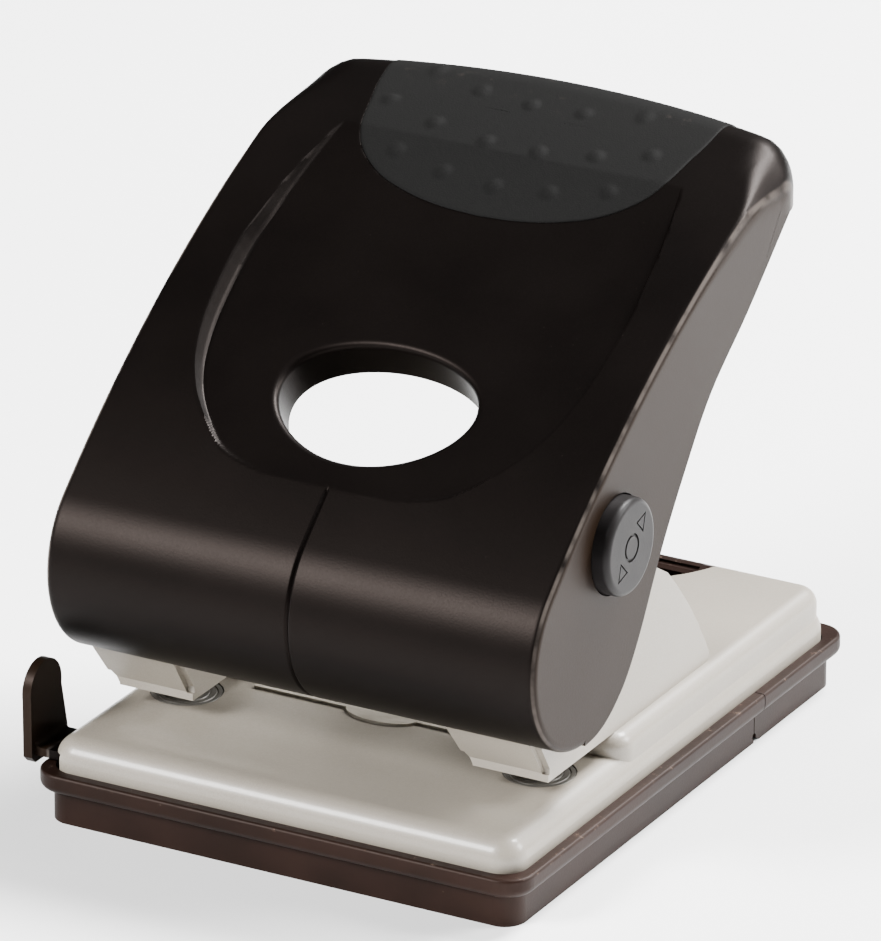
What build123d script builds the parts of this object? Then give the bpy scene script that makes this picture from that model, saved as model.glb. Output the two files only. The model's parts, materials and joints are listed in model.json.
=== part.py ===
from build123d import *
import os
from math import atan2, cos, degrees, hypot, pi, radians, sin

# Two-hole desktop punch, in millimetres.
# X runs left to right along the two holes, +Y to the back, +Z up.
# The origin lies on the tray's underside, midway between the two holes.

os.makedirs("parts", exist_ok=True)

# ---------------------------------------------------------------- punching geometry
hole_pitch = 80.0
die_x = hole_pitch / 2
punch_d = 6.0
hole_margin = 12.0          # paper edge to hole centres
bed_z = 17.5                # top of the paper bed
plateau_z = 21.8            # top of the raised rear of the plate
running = 0.05              # radial clearance of turning and sliding fits
gap = 0.3                   # gap between bodies that move past each other

# ---------------------------------------------------------------- tray
tray_half = 55.2            # half width of the tray's rim
tray_front_y = -36.1
tray_back_y = 104.9
rim_top = 11.1
rim_bottom = 6.9
skirt_inset = 2.4           # the skirt stands this far inside the rim
tray_wall = 2.2
tray_floor = 1.8
groove_z = 10.4             # floor of the groove that takes the plate's edge
tray_corner = 6.0
seam_y = 67.0
seam_gap = 0.15
door_axis_z = 1.3
door_pin_d = 1.4
barrel_r = 1.2
ear_x = 47.0                # centre of each hinge ear
ear_w = 3.0

# ---------------------------------------------------------------- base plate
plate_half = 52.5
plate_front_y = -33.3
plate_back_y = 100.8
plate_t = 1.6
plate_z = 10.7              # lower edge of the plate
plate_corner = 5.2
plateau_half = 51.6
notch_r = 30.0
notch_y = 109.3             # centre of the round notch in the plate's rear edge

# ---------------------------------------------------------------- brackets and axle
sheet = 1.5
bracket_half = 8.4
bracket_front_y = -12.0
bracket_back_y = 54.5
axle_y, axle_z, axle_d = -14.0, 52.0, 6.0
guide_z, guide_t = 42.2, 2.0
rivet_y = (22.0, 44.0)
rivet_d = 3.0

# ---------------------------------------------------------------- press drive
swing_deg = 34.0            # travel of the handle
press_r = 14.03             # axle to press bar
press_d = 5.0
press_y = axle_y + press_r * cos(radians(swing_deg / 2))
press_z = axle_z + press_r * sin(radians(swing_deg / 2))
punch_top = press_z - press_d / 2 - 0.06
punch_tip = bed_z + 5.3
washer_z, washer_t = 40.6, 0.8

# ---------------------------------------------------------------- handle cover
nose_y, nose_z, nose_r = -8.7, 50.6, 20.94
top_y, top_z, top_r = 164.5, -138.0, 277.0
handle_half = 54.7
handle_back_y = 90.4        # rear of the rolled top at the centre
handle_side_y = 84.0        # rear of the rolled top beside the corners
handle_corner = 12.0
roll_r = 8.0
edge_r = 1.3
wall = 2.5
hem_z = 112.0               # lower edge of the rolled top
panel_start, panel_end = 13.0, 100.0    # arc lengths from the nose to the panel's ends
grip_t = 1.6
knob_y, knob_z, knob_r = 3.5, 67.7, 9.9
knob_travel = 2.5

joint_angle = atan2(nose_z - top_z, nose_y - top_y)     # where the nose meets the long arc


def on_top(s, inset=0.0):
    """Point (y, z) on the long top arc, s millimetres of arc behind the nose."""
    angle = joint_angle - s / top_r
    radius = top_r - inset
    return (top_y + radius * cos(angle), top_z + radius * sin(angle))


def on_nose(angle_deg, inset=0.0):
    """Point (y, z) on the nose circle, at an angle measured from +Y."""
    radius = nose_r - inset
    return (nose_y + radius * cos(radians(angle_deg)), nose_z + radius * sin(radians(angle_deg)))


panel_a, panel_b = on_top(panel_start), on_top(panel_end)
panel_len = hypot(panel_b[0] - panel_a[0], panel_b[1] - panel_a[1])
panel_dir = ((panel_b[0] - panel_a[0]) / panel_len, (panel_b[1] - panel_a[1]) / panel_len)
# Panel plane: local x is -X of the object, local y climbs the slope, the normal points out.
panel_plane = Plane(
    origin=(0, panel_a[0], panel_a[1]),
    x_dir=(1, 0, 0),
    z_dir=(0, -panel_dir[1], panel_dir[0]),
)


# ================================================================ base
def tray_shell(piece_y0, piece_y1):
    """Open pan with a skirt, a fuller rim and a groove for the plate, cut to a range of Y."""
    length = tray_back_y - tray_front_y
    middle = (tray_back_y + tray_front_y) / 2
    with BuildPart() as shell:
        with BuildSketch(Plane.XY.offset(rim_bottom)):
            with Locations((0, middle)):
                RectangleRounded(2 * tray_half, length, tray_corner)
        extrude(amount=rim_top - rim_bottom)
        fillet(shell.edges().group_by(Axis.Z)[0], 1.8)
        fillet(shell.edges().group_by(Axis.Z)[-1], 0.7)
        with BuildSketch():
            with Locations((0, middle)):
                RectangleRounded(2 * (tray_half - skirt_inset), length - 2 * skirt_inset, tray_corner - 1.5)
        extrude(amount=rim_bottom + 1.5)
        with BuildSketch(Plane.XY.offset(tray_floor)):
            with Locations((0, middle)):
                inside = skirt_inset + tray_wall
                RectangleRounded(2 * (tray_half - inside), length - 2 * inside, 3)
        extrude(amount=rim_top, mode=Mode.SUBTRACT)
        plate_middle = (plate_front_y + plate_back_y) / 2
        with BuildSketch(Plane.XY.offset(groove_z)):
            with Locations((0, plate_middle)):
                RectangleRounded(
                    2 * plate_half + 0.6, plate_back_y - plate_front_y + 0.6, plate_corner + 0.3
                )
        extrude(amount=rim_top, mode=Mode.SUBTRACT)
        with BuildSketch():
            with Locations((0, (piece_y0 + piece_y1) / 2)):
                Rectangle(200, piece_y1 - piece_y0)
        extrude(amount=60, mode=Mode.INTERSECT)
    return shell.part


front_screws = [(-44.0, -12.0), (44.0, -12.0)]
rear_screws = [(-44.0, 58.0), (44.0, 58.0)]

front_shell = tray_shell(tray_front_y - 5, seam_y - seam_gap)

with BuildPart() as tray_front:
    add(front_shell)
    # Floor edge kept clear of the door's hinge barrel.
    with BuildSketch():
        with Locations((0, seam_y)):
            Rectangle(2 * (ear_x + 3.4), 2 * (barrel_r + gap))
    extrude(amount=3, mode=Mode.SUBTRACT)
    # Hinge ears.
    for x in (-ear_x, ear_x):
        with BuildSketch(Plane.YZ.offset(x - ear_w / 2)):
            with Locations((seam_y, door_axis_z)):
                Circle(barrel_r)
            with Locations((seam_y - 2, barrel_r * 0.9 + 0.1)):
                Rectangle(4, barrel_r * 1.8 + 0.2)
        extrude(amount=ear_w)
    # Screw posts, each with a pocket for the head.
    with BuildSketch(Plane.XY.offset(tray_floor - 0.2)):
        with Locations(*front_screws):
            Circle(3.4)
    extrude(amount=12.4 - tray_floor + 0.2)
    with BuildSketch(Plane.XY.offset(tray_floor - 0.2)):
        with Locations(*rear_screws):
            Circle(3.4)
    extrude(amount=16.7 - tray_floor + 0.2)
    with BuildSketch():
        with Locations(*front_screws, *rear_screws):
            Circle(2.9)
    extrude(amount=3.2, mode=Mode.SUBTRACT)
    with BuildSketch():
        with Locations(*front_screws, *rear_screws):
            Circle(1.55)
    extrude(amount=20, mode=Mode.SUBTRACT)
    # Cross ribs that the paper guide slides on.
    with BuildSketch(Plane.YZ):
        with BuildLine():
            Polyline((-31.4, 1.6), (-31.4, 11.6), (-18.2, 11.6), (-18.2, 13.4), (-16.8, 13.4), (-16.8, 1.6), close=True)
        make_face()
    extrude(amount=1.0, both=True)
    for x in (-32.0, 32.0):
        with BuildSketch(Plane.YZ.offset(x)):
            with BuildLine():
                Polyline((-31.4, 1.6), (-31.4, 11.6), (-18.2, 11.6), (-18.2, 13.4), (-16.8, 13.4), (-16.8, 1.6), close=True)
            make_face()
        extrude(amount=1.0, both=True)
    # Hinge pin hole.
    with BuildSketch(Plane.YZ):
        with Locations((seam_y, door_axis_z)):
            Circle(door_pin_d / 2)
    extrude(amount=60, both=True, mode=Mode.SUBTRACT)
tray_front.part.label = "tray_front"
export_step(tray_front.part, "parts/tray_front.step")

rear_shell = tray_shell(seam_y + seam_gap, tray_back_y + 5)
tab_back_y = 103.2
tab_top = 20.0

# Ribbed finger tab that fills the plate's rear notch.
with BuildPart() as finger_tab:
    with BuildSketch(Plane.YZ):
        with BuildLine():
            Polyline(
                (80.0, 14.2), (86.0, 15.6), (94.0, 17.0), (99.0, tab_top - 0.6), (101.0, tab_top),
                (tab_back_y - 0.6, tab_top - 0.5), (tab_back_y, tab_top - 1.6), (tab_back_y, 9.0),
                (100.4, 9.0), (100.4, 14.6), (92.0, 13.2), (80.0, 12.4), close=True,
            )
        make_face()
    extrude(amount=26.5, both=True)
    with BuildSketch():
        with Locations((0, notch_y)):
            Circle(notch_r - 0.7)
    extrude(amount=40, mode=Mode.INTERSECT)
    # Grooves across the tab.
    for y, z in ((97.0, 18.6), (99.4, 19.9), (101.8, 20.3)):
        with BuildSketch(Plane.YZ):
            with Locations((y, z)):
                Circle(0.8)
        extrude(amount=23, both=True, mode=Mode.SUBTRACT)

with BuildPart() as chip_door:
    add(rear_shell)
    add(finger_tab.part)
    # Lower front edge bevelled so that the door swings down about its pin.
    with BuildSketch(Plane.YZ):
        with BuildLine():
            Polyline((seam_y, door_axis_z), (seam_y + 2.4, -0.1), (seam_y - 1, -0.1), (seam_y - 1, door_axis_z), close=True)
        make_face()
    extrude(amount=70, both=True, mode=Mode.SUBTRACT)
    # Hinge barrel between the tray's ears.
    barrel_half = ear_x - ear_w / 2 - gap
    with BuildSketch(Plane.YZ):
        with Locations((seam_y, door_axis_z)):
            Circle(barrel_r)
        with Locations((seam_y + 1.6, door_axis_z - 0.1)):
            Rectangle(3.2, 1.6)
    extrude(amount=barrel_half, both=True)
    for x in (-ear_x, ear_x):
        with BuildSketch():
            with Locations((x, seam_y)):
                Rectangle(ear_w + 2 * gap, 2 * (barrel_r + gap))
        extrude(amount=4, mode=Mode.SUBTRACT)
    with BuildSketch(Plane.YZ):
        with Locations((seam_y, door_axis_z)):
            Circle(door_pin_d / 2 + running)
    extrude(amount=60, both=True, mode=Mode.SUBTRACT)
chip_door.part.label = "chip_door"
export_step(chip_door.part, "parts/chip_door.step")

with BuildPart() as door_hinge_pin:
    with BuildSketch(Plane.YZ):
        with Locations((seam_y, door_axis_z)):
            Circle(door_pin_d / 2)
    extrude(amount=ear_x + ear_w / 2, both=True)
door_hinge_pin.part.label = "door_hinge_pin"
export_step(door_hinge_pin.part, "parts/door_hinge_pin.step")


def plate_body(inset):
    """Pressed plate as a solid: low bed, straight step, raised plateau, all rounded over."""
    length = plate_back_y - plate_front_y
    middle = (plate_back_y + plate_front_y) / 2
    with BuildPart() as body:
        with BuildSketch(Plane.XY.offset(plate_z)):
            with Locations((0, middle)):
                RectangleRounded(2 * (plate_half - inset), length - 2 * inset, plate_corner - inset)
        extrude(amount=bed_z - inset - plate_z)
        fillet(body.edges().group_by(Axis.Z)[-1], 4.6 - inset)
        with BuildSketch(Plane.XY.offset(plate_z)) as raised:
            with Locations((0, (hole_margin + inset + plate_back_y - inset - 0.4) / 2)):
                Rectangle(2 * (plateau_half - inset), plate_back_y - 0.4 - hole_margin - 2 * inset)
            fillet(raised.vertices(), 5.0 - inset)
        extrude(amount=plateau_z - inset - plate_z)
        fillet(body.faces().sort_by(Axis.Z)[-1].edges(), 3.2 - inset)
    return body.part


plate_outer = plate_body(0)
plate_inner = plate_body(plate_t)

with BuildPart() as base_plate:
    add(plate_outer)
    add(plate_inner, mode=Mode.SUBTRACT)
    # Die holes.
    with BuildSketch(Plane.XY.offset(plate_z)):
        with Locations((-die_x, 0), (die_x, 0)):
            Circle(7.4)
    extrude(amount=8, mode=Mode.SUBTRACT)
    # Rivet holes under the brackets.
    with BuildSketch(Plane.XY.offset(bed_z)):
        with Locations(*[(x, y) for x in (-die_x, die_x) for y in rivet_y]):
            Circle(rivet_d / 2)
    extrude(amount=8, mode=Mode.SUBTRACT)
    # Round notch for the chip door's finger tab.
    with BuildSketch(Plane.XY.offset(plate_z - 1)):
        with Locations((0, notch_y)):
            Circle(notch_r)
    extrude(amount=20, mode=Mode.SUBTRACT)
    # Slot in the left skirt for the paper guide.
    with BuildSketch(Plane.XY.offset(plate_z - 1)):
        with Locations((-plate_half, -25.0)):
            Rectangle(12, 14.6)
    extrude(amount=4.4, mode=Mode.SUBTRACT)
base_plate.part.label = "base_plate"
export_step(base_plate.part, "parts/base_plate.step")

with BuildPart() as paper_rest:
    with BuildSketch(Plane.XY.offset(bed_z)) as strip:
        with Locations((0, 9.8)):
            Rectangle(58, 4.2)
        with Locations((0, 8.4)):
            Ellipse(8.0, 4.2)
        with Locations((0, 13.9)):
            Rectangle(60, 4.0, mode=Mode.SUBTRACT)
    extrude(amount=0.6)
paper_rest.part.label = "paper_rest"
export_step(paper_rest.part, "parts/paper_rest.step")

for side, x in (("left", -die_x), ("right", die_x)):
    with BuildPart() as die:
        with BuildSketch(Plane.XZ):
            with BuildLine():
                Polyline(
                    (punch_d / 2 + running, 11.5), (7.0, 11.5), (7.0, 13.4), (8.0, 13.4), (8.0, 15.85),
                    (7.35, 15.85), (7.35, 17.1), (7.05, 17.4), (6.3, 17.4), (6.1, 17.15), (5.9, 17.4),
                    (4.9, 17.4), (4.7, 17.15), (4.5, 17.4), (3.4, 17.4), (punch_d / 2 + running, 17.1),
                    close=True,
                )
            make_face()
        revolve(axis=Axis.Z)
    placed = Pos(x, 0, 0) * die.part
    placed.label = f"die_{side}"
    export_step(placed, f"parts/die_{side}.step")

# ================================================================ paper guide
bar_z, bar_t = 11.8, 1.8
stop_x, stop_t = -57.0, 2.0

with BuildPart() as paper_guide:
    with BuildSketch(Plane.XY.offset(bar_z)):
        with BuildLine():
            Polyline((stop_x - stop_t, -30.4), (45.0, -30.4), (49.0, -27.0), (49.0, -19.0), (stop_x - stop_t, -19.0), close=True)
        make_face()
    extrude(amount=bar_t)
    with BuildSketch(Plane.YZ.offset(stop_x - stop_t)) as stop:
        with BuildLine():
            Line((-31.8, 11.6), (-31.8, 23.6))
            ThreePointArc((-31.8, 23.6), (-25.7, 30.7), (-20.1, 23.6))
            Polyline((-20.1, 23.6), (-18.0, 13.6), (-18.0, 10.2), (-30.4, 10.2), (-31.8, 11.6))
        make_face()
    extrude(amount=stop_t)
    # Detent notches for the paper sizes.
    with BuildSketch(Plane.XZ.offset(24.0)):
        with Locations(*[(x, bar_z + bar_t + 0.25) for x in (0.0, 16.0, 31.5)]):
            Circle(0.7)
    extrude(amount=2.5, both=True, mode=Mode.SUBTRACT)
    # Upturned corner: small inside radius where the stop meets the bar.
    fillet(paper_guide.edges().filter_by(Axis.Y).filter_by_position(Axis.X, -57.1, -56.9).group_by(Axis.Z)[-1], 1.2)
paper_guide.part.label = "paper_guide"
export_step(paper_guide.part, "parts/paper_guide.step")

with BuildPart() as guide_spring:
    with BuildSketch(Plane.XZ.offset(24.0)):
        with BuildLine():
            ThreePointArc((-9, 15.85), (0, 14.1), (9, 15.85))
            Line((9, 15.85), (10.0, 15.85))
            ThreePointArc((10.0, 15.85), (0, 13.7), (-10.0, 15.85))
            Line((-10.0, 15.85), (-9, 15.85))
        make_face()
    extrude(amount=2.0, both=True)
guide_spring.part.label = "guide_spring"
export_step(guide_spring.part, "parts/guide_spring.step")

# ================================================================ brackets
lean = (-5.1, 8.0)          # rise of the lead-in plate: this far forward, this far up
lip_z = 23.5
lead_top = (bracket_front_y + lean[0], lip_z + lean[1])


def cheek_outline(notched):
    """Side cheek of a bracket, with a pocket for the press bar when notched."""
    with BuildSketch(Plane.YZ) as cheek:
        with BuildLine():
            Polyline((bracket_front_y + 0.6, plateau_z), (53.8, plateau_z))
            ThreePointArc((53.8, plateau_z), (55.0, plateau_z + 0.6), (55.3, plateau_z + 2.0))
            ThreePointArc((55.3, plateau_z + 2.0), (48.9, 34.0), (37.2, 47.7))
            Polyline(
                (37.2, 47.7), (16.0, 60.6), (6.0, 61.8), (-8.0, 60.5), (-14.0, 60.0), (-20.6, 56.6), (-22.0, 52.0),
                (-20.0, 45.0), (-15.8, 36.0), (-14.6, 29.6), (bracket_front_y + 0.6, 24.6),
                (bracket_front_y + 0.6, plateau_z),
            )
        make_face()
        with Locations((axle_y, axle_z)):
            Circle(axle_d / 2 + running, mode=Mode.SUBTRACT)
        with Locations((0, guide_z + guide_t / 2)):
            Rectangle(6.0, guide_t, mode=Mode.SUBTRACT)
        if notched:
            with Locations((-0.4, 57.0)):
                Rectangle(8.4, 24.0, mode=Mode.SUBTRACT)
        else:
            with Locations((9.3, 55.2)):
                Circle(2.4, mode=Mode.SUBTRACT)
    return cheek.sketch


for side, x in (("left", -die_x), ("right", die_x)):
    inner_first = side == "right"
    with BuildPart() as bracket:
        # Foot, which reaches forward over the slot as the lower punch guide.
        with BuildSketch(Plane.XY.offset(plateau_z)):
            with Locations((x, (bracket_front_y + bracket_back_y) / 2)):
                Rectangle(2 * bracket_half, bracket_back_y - bracket_front_y)
        extrude(amount=sheet)
        # Cheeks.
        for left_cheek in (True, False):
            x0 = x - bracket_half if left_cheek else x + bracket_half - sheet
            add(Pos(x0, 0, 0) * cheek_outline(notched=left_cheek == inner_first))
            extrude(amount=sheet, dir=(1, 0, 0))
        # Sloping lead-in plate in front: its left edge flares out towards the top.
        with BuildSketch(Plane.YZ.offset(x - bracket_half - 3.2)):
            with BuildLine():
                Polyline(
                    (bracket_front_y, plateau_z), (bracket_front_y, lip_z), lead_top,
                    (lead_top[0] + 1.27, lead_top[1] + 0.8), (bracket_front_y + sheet, lip_z + 0.45),
                    (bracket_front_y + sheet, plateau_z), close=True,
                )
            make_face()
        extrude(amount=2 * bracket_half + 3.2 - 1.4)
        # Trim the plate's left edge to its slanted outline with one small step.
        with BuildSketch(Plane.XZ.offset(40)):
            with BuildLine():
                Polyline(
                    (x - bracket_half - 4, plateau_z - 1), (x - bracket_half, plateau_z - 1),
                    (x - bracket_half, plateau_z + 0.4), (x - bracket_half - 1.5, 24.9),
                    (x - bracket_half - 2.2, 24.9), (x - bracket_half - 3.2, 31.0),
                    (x - bracket_half - 3.2, 34.0), (x - bracket_half - 4, 34.0), close=True,
                )
            make_face()
        extrude(amount=-30, mode=Mode.SUBTRACT)
        # Punch hole and rivet holes.
        with BuildSketch(Plane.XY.offset(plateau_z - 1)):
            with Locations((x, 0)):
                Circle(punch_d / 2 + running)
            with Locations(*[(x, y) for y in rivet_y]):
                Circle(rivet_d / 2)
        extrude(amount=4, mode=Mode.SUBTRACT)
    bracket.part.label = f"bracket_{side}"
    export_step(bracket.part, f"parts/bracket_{side}.step")

    with BuildPart() as upper_guide:
        with BuildSketch(Plane.XY.offset(guide_z)):
            with Locations((x, 0)):
                Rectangle(2 * (bracket_half - sheet), 11.0)
                Rectangle(2 * bracket_half, 6.0)
                Circle(punch_d / 2 + running, mode=Mode.SUBTRACT)
        extrude(amount=guide_t)
    upper_guide.part.label = f"upper_guide_{side}"
    export_step(upper_guide.part, f"parts/upper_guide_{side}.step")

    with BuildPart() as punch:
        with BuildSketch(Plane.XY.offset(punch_tip)):
            with Locations((x, 0)):
                Circle(punch_d / 2)
        extrude(amount=punch_top - punch_tip)
        # Hollow-ground cutting tip: two slanting faces that meet in a valley.
        with BuildSketch(Plane.YZ.offset(x)):
            with BuildLine():
                Polyline((-3.0, punch_tip - 0.1), (3.0, punch_tip - 0.1), (0, punch_tip + 1.1), close=True)
            make_face()
        extrude(amount=4, both=True, mode=Mode.SUBTRACT)
        chamfer(punch.edges().group_by(Axis.Z)[-1], 0.4)
        # Groove for the spring washer.
        with BuildSketch(Plane.XY.offset(washer_z)):
            with Locations((x, 0)):
                Circle(punch_d / 2 + 1)
                Circle(punch_d / 2 - 0.5, mode=Mode.SUBTRACT)
        extrude(amount=washer_t, mode=Mode.SUBTRACT)
    punch.part.label = f"punch_{side}"
    export_step(punch.part, f"parts/punch_{side}.step")

    with BuildPart() as washer:
        with BuildSketch(Plane.XY.offset(washer_z)):
            with Locations((x, 0)):
                Circle(5.6)
                Circle(punch_d / 2 - 0.5, mode=Mode.SUBTRACT)
                with Locations((0, -4.5)):
                    Rectangle(4.4, 9.0, mode=Mode.SUBTRACT)
        extrude(amount=washer_t)
    washer.part.label = f"spring_washer_{side}"
    export_step(washer.part, f"parts/spring_washer_{side}.step")

    # Return spring between the foot and the washer.
    wire_d = 0.9
    coil_r = 4.35
    spring_low = plateau_z + sheet + wire_d / 2 + 0.05
    spring_high = washer_z - wire_d / 2 - 0.05
    with BuildPart() as spring:
        with BuildLine() as coil:
            Helix(pitch=(spring_high - spring_low) / 5, height=spring_high - spring_low, radius=coil_r,
                  center=(x, 0, spring_low))
        with BuildSketch(Plane(origin=coil.line @ 0, z_dir=coil.line % 0)):
            Circle(wire_d / 2)
        sweep(is_frenet=True)
    spring.part.label = f"return_spring_{side}"
    export_step(spring.part, f"parts/return_spring_{side}.step")

with BuildPart() as bracket_rivets:
    with BuildSketch(Plane.XY.offset(plateau_z - plate_t - 0.9)):
        with Locations(*[(x, y) for x in (-die_x, die_x) for y in rivet_y]):
            Circle(2.6)
    extrude(amount=0.9)
    with BuildSketch(Plane.XY.offset(plateau_z - plate_t)):
        with Locations(*[(x, y) for x in (-die_x, die_x) for y in rivet_y]):
            Circle(rivet_d / 2)
    extrude(amount=plate_t + sheet)
    with BuildSketch(Plane.XY.offset(plateau_z + sheet)):
        with Locations(*[(x, y) for x in (-die_x, die_x) for y in rivet_y]):
            Circle(2.8)
    extrude(amount=1.2, taper=25)
bracket_rivets.part.label = "bracket_rivets"
export_step(bracket_rivets.part, "parts/bracket_rivets.step")

# ================================================================ tray fasteners
with BuildPart() as tray_screws:
    for points, top in ((front_screws, 15.6), (rear_screws, 19.9)):
        with BuildSketch(Plane.XY.offset(0.9)):
            with Locations(*points):
                Circle(2.75)
        extrude(amount=2.3)
        with BuildSketch(Plane.XY.offset(3.2)):
            with Locations(*points):
                Circle(1.5)
        extrude(amount=top - 3.2)
    with BuildSketch(Plane.XY.offset(0.9)):
        with Locations(*front_screws, *rear_screws):
            Rectangle(3.0, 0.7)
            Rectangle(0.7, 3.0)
    extrude(amount=1.1, mode=Mode.SUBTRACT)
tray_screws.part.label = "tray_screws"
export_step(tray_screws.part, "parts/tray_screws.step")

with BuildPart() as clinch_nuts:
    for points, top in ((front_screws, bed_z - plate_t), (rear_screws, plateau_z - plate_t)):
        with BuildSketch(Plane.XY.offset(top - 3.2)):
            with Locations(*points):
                RegularPolygon(3.4, 6)
                Circle(1.5 + running, mode=Mode.SUBTRACT)
        extrude(amount=3.2)
clinch_nuts.part.label = "clinch_nuts"
export_step(clinch_nuts.part, "parts/clinch_nuts.step")

# ================================================================ axle and lever
axle_half = 49.6

with BuildPart() as axle:
    with BuildSketch(Plane.YZ):
        with Locations((axle_y, axle_z)):
            Circle(axle_d / 2)
    extrude(amount=axle_half, both=True)
    chamfer(axle.edges().filter_by(GeomType.CIRCLE), 0.4)
    with BuildSketch(Plane.YZ.offset(48.6)):
        with Locations((axle_y, axle_z)):
            Circle(axle_d / 2 + 1)
            Circle(axle_d / 2 - 0.6, mode=Mode.SUBTRACT)
    extrude(amount=0.6, mode=Mode.SUBTRACT)
    with BuildSketch(Plane.YZ.offset(-49.2)):
        with Locations((axle_y, axle_z)):
            Circle(axle_d / 2 + 1)
            Circle(axle_d / 2 - 0.6, mode=Mode.SUBTRACT)
    extrude(amount=0.6, mode=Mode.SUBTRACT)
axle.part.label = "axle"
export_step(axle.part, "parts/axle.step")

with BuildPart() as axle_clips:
    for x in (-49.2, 48.6):
        with BuildSketch(Plane.YZ.offset(x)):
            with Locations((axle_y, axle_z)):
                Circle(5.0)
                Circle(axle_d / 2 - 0.6, mode=Mode.SUBTRACT)
            with Locations((axle_y, axle_z + 4)):
                Rectangle(3.8, 8.0, mode=Mode.SUBTRACT)
        extrude(amount=0.6)
axle_clips.part.label = "axle_clips"
export_step(axle_clips.part, "parts/axle_clips.step")

arm_x, arm_t = 28.0, 2.2
web_low = on_nose(152, wall + 1.2)
web_high = on_top(6.0, wall + 1.4)
web_len = hypot(web_high[0] - web_low[0], web_high[1] - web_low[1])
web_dir = ((web_high[0] - web_low[0]) / web_len, (web_high[1] - web_low[1]) / web_len)
web_normal = (-web_dir[1], web_dir[0])
web_t = 2.2
web_mid = ((web_low[0] + web_high[0]) / 2, (web_low[1] + web_high[1]) / 2)
screw_x = 16.0
# Plane on the web's outer face; its normal points out through the cover.
web_plane = Plane(origin=(0, web_mid[0], web_mid[1]), x_dir=(1, 0, 0), z_dir=(0, web_normal[0], web_normal[1]))

with BuildPart() as lever:
    with BuildSketch(web_plane):
        Rectangle(2 * (arm_x + arm_t), web_len)
    extrude(amount=-web_t)
    for x in (-arm_x - arm_t, arm_x):
        with BuildSketch(Plane.YZ.offset(x)) as arm:
            with BuildLine():
                Polyline(
                    web_low, web_high, (web_high[0] + 3.2, web_high[1] - 3.4), (5.2, 58.0), (4.6, 52.6),
                    (-1.5, 50.6), (-8.0, 45.6), (-14.0, 44.6), (-19.6, 47.0), (-21.6, 52.0), close=True,
                )
            make_face()
        extrude(amount=arm_t)
    with BuildSketch(Plane.YZ):
        with Locations((axle_y, axle_z)):
            Circle(axle_d / 2 + running)
        with Locations((press_y, press_z)):
            Circle(press_d / 2)
    extrude(amount=60, both=True, mode=Mode.SUBTRACT)
    with BuildSketch(web_plane):
        with Locations((-screw_x, 0), (screw_x, 0)):
            Circle(1.6)
    extrude(amount=-6, mode=Mode.SUBTRACT)
lever.part.label = "lever"
export_step(lever.part, "parts/lever.step")

with BuildPart() as press_bar:
    with BuildSketch(Plane.YZ):
        with Locations((press_y, press_z)):
            Circle(press_d / 2)
    extrude(amount=46.0, both=True)
    chamfer(press_bar.edges().filter_by(GeomType.CIRCLE), 0.5)
press_bar.part.label = "press_bar"
export_step(press_bar.part, "parts/press_bar.step")


# ================================================================ handle cover
def handle_profile(inset):
    """Side outline of the handle: nose circle, long top arc and the curved lower line."""
    nose_low = on_nose(270, inset)
    join = on_nose(degrees(joint_angle), inset)
    far = on_top(150, inset)
    with BuildSketch(Plane.YZ) as profile:
        with BuildLine():
            ThreePointArc(nose_low, on_nose(180, inset), join)
            ThreePointArc(join, on_top(70, inset), far)
            Polyline(far, (far[0], hem_z), (75.8, hem_z))
            Spline(
                (75.8, hem_z), (58.3, 97.0), (43.0, 85.2), (32.3, 72.8), (22.5, 59.4), (14.2, 44.8),
                (4.2, 33.0), nose_low, tangents=((-0.76, -0.65), (-1, 0)),
            )
        make_face()
    return profile.sketch


def handle_plan(inset, spread, corner):
    """Top view of the handle: straight sides, bowed rear edge, rounded rear corners."""
    half = handle_half - inset + spread
    back, side = handle_back_y - inset, handle_side_y - inset
    with BuildSketch() as plan:
        with BuildLine():
            Polyline((-half, side), (-half, -60), (half, -60), (half, side))
            ThreePointArc((half, side), (0, back), (-half, side))
        make_face()
        if corner:
            fillet(plan.vertices().group_by(Axis.Y)[-1], corner)
    return plan.sketch


def handle_body(inset, soft):
    """Outer form of the handle: rolled over at the rear, soft at the sides, cut to plan."""
    with BuildPart() as rolled:
        extrude(handle_profile(inset).faces()[0], amount=handle_half + 6, both=True)
        extrude(handle_plan(inset, 1.0, 0).faces()[0], amount=160, mode=Mode.INTERSECT)
        across = rolled.edges().filter_by_position(Axis.X, -1, 1).filter_by_position(Axis.Y, 82, 120)
        fillet(across.sort_by(Axis.Z)[-1], roll_r - inset)
    with BuildPart() as body:
        extrude(handle_profile(inset).faces()[0], amount=handle_half - inset, both=True)
        if soft:
            fillet(body.faces().filter_by(Axis.X).edges(), soft)
        add(rolled.part, mode=Mode.INTERSECT)
        extrude(handle_plan(inset, 0.0, handle_corner - inset).faces()[0], amount=160, mode=Mode.INTERSECT)
    return body.part


outer_form = handle_body(0, edge_r)
under_grip = handle_body(grip_t, 0)

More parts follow.
